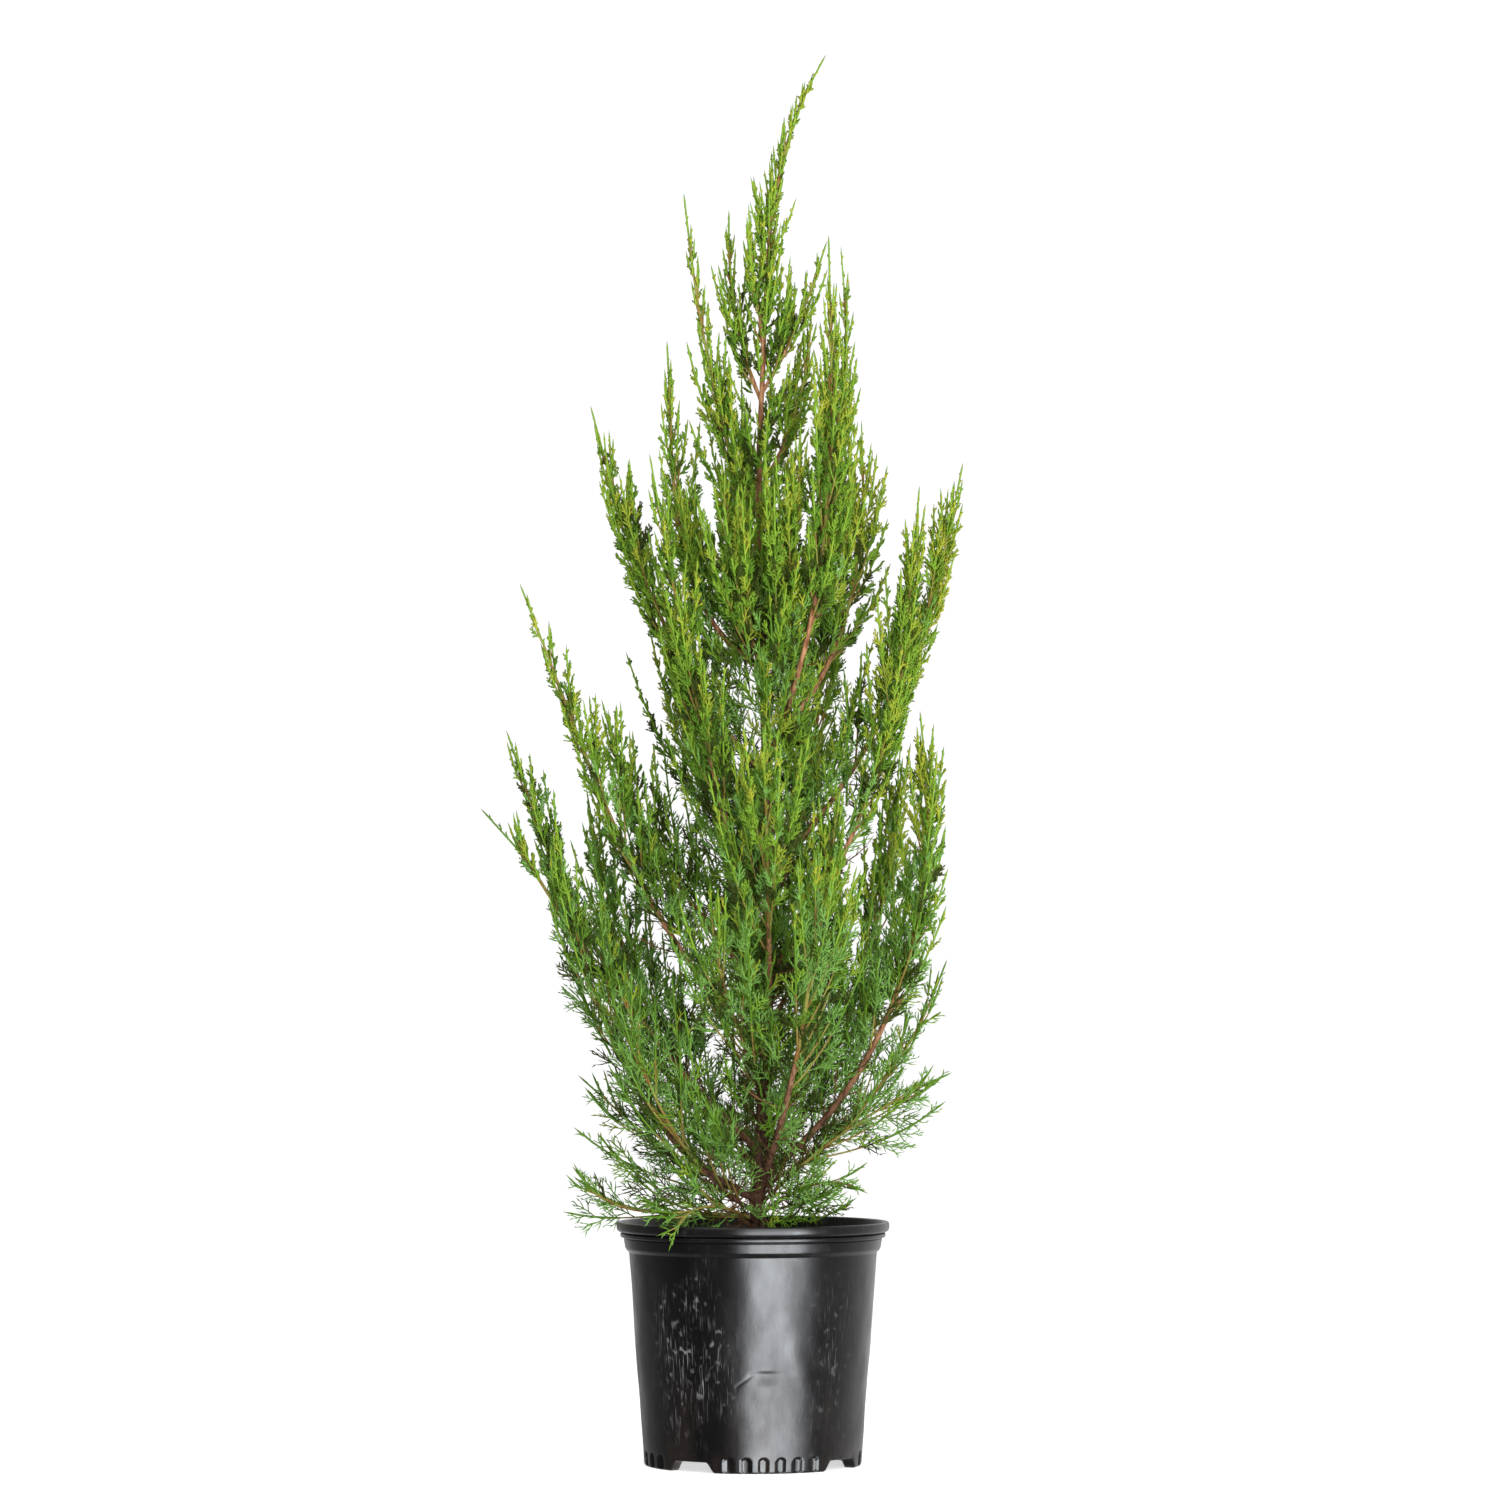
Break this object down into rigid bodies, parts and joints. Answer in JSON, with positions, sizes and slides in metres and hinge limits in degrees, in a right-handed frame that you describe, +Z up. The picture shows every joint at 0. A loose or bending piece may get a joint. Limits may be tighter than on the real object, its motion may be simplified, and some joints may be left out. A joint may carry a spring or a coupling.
{
  "type": "potted juniper tree",
  "caption": "Young upright juniper with feathery green plumes on a slender bare trunk, growing in a round black plastic nursery pot.",
  "frame": {"origin": "centre of the pot's flat underside, on the pot's axis", "axes": "+Z up along the trunk, -Y towards the front that the picture shows, +X to the right in that view"},
  "size_m": [0.4958, 0.421, 1.445],
  "materials": {
    "black_plastic": "satin",
    "bark_soil": "rough",
    "bark": "rough",
    "foliage": "matt"
  },
  "bodies": {
    "root": {"pot": "black_plastic", "soil": "bark_soil", "trunk": "bark", "bough_back_left": "bark", "bough_back_mid": "bark", "bough_back_right": "bark", "bough_front_low": "bark", "bough_front_mid": "bark", "bough_left_back_high": "bark", "bough_left_back_mid": "bark", "bough_left_front_long": "bark", "bough_left_high": "bark", "bough_left_low": "bark", "bough_left_low_wide": "bark", "bough_left_wide": "bark", "bough_right_back_high": "bark", "bough_right_front": "bark", "bough_right_high": "bark", "bough_right_low": "bark", "bough_right_wide": "bark", "bough_right_wide_inner": "bark", "foliage_back_high": "foliage", "foliage_back_left": "foliage", "foliage_back_low_left": "foliage", "foliage_back_low_right": "foliage", "foliage_back_mid": "foliage", "foliage_back_right": "foliage", "foliage_back_skirt": "foliage", "foliage_front_high": "foliage", "foliage_front_left_high": "foliage", "foliage_front_left_skirt": "foliage", "foliage_front_low": "foliage", "foliage_front_mid": "foliage", "foliage_leader": "foliage", "foliage_left_back_high": "foliage", "foliage_left_back_mid": "foliage", "foliage_left_front_long": "foliage", "foliage_left_front_low": "foliage", "foliage_left_front_mid": "foliage", "foliage_left_high": "foliage", "foliage_left_low": "foliage", "foliage_left_low_wide": "foliage", "foliage_left_skirt": "foliage", "foliage_left_skirt_low": "foliage", "foliage_left_wide": "foliage", "foliage_right_back_high": "foliage", "foliage_right_front": "foliage", "foliage_right_front_mid": "foliage", "foliage_right_high": "foliage", "foliage_right_low": "foliage", "foliage_right_skirt": "foliage", "foliage_right_skirt_high": "foliage", "foliage_right_skirt_low": "foliage", "foliage_right_wide": "foliage", "foliage_right_wide_inner": "foliage", "foliage_upper_front": "foliage", "foliage_upper_left": "foliage", "foliage_upper_left_inner": "foliage", "foliage_upper_right": "foliage", "foliage_upper_right_inner": "foliage"}
  },
  "joints": []
}
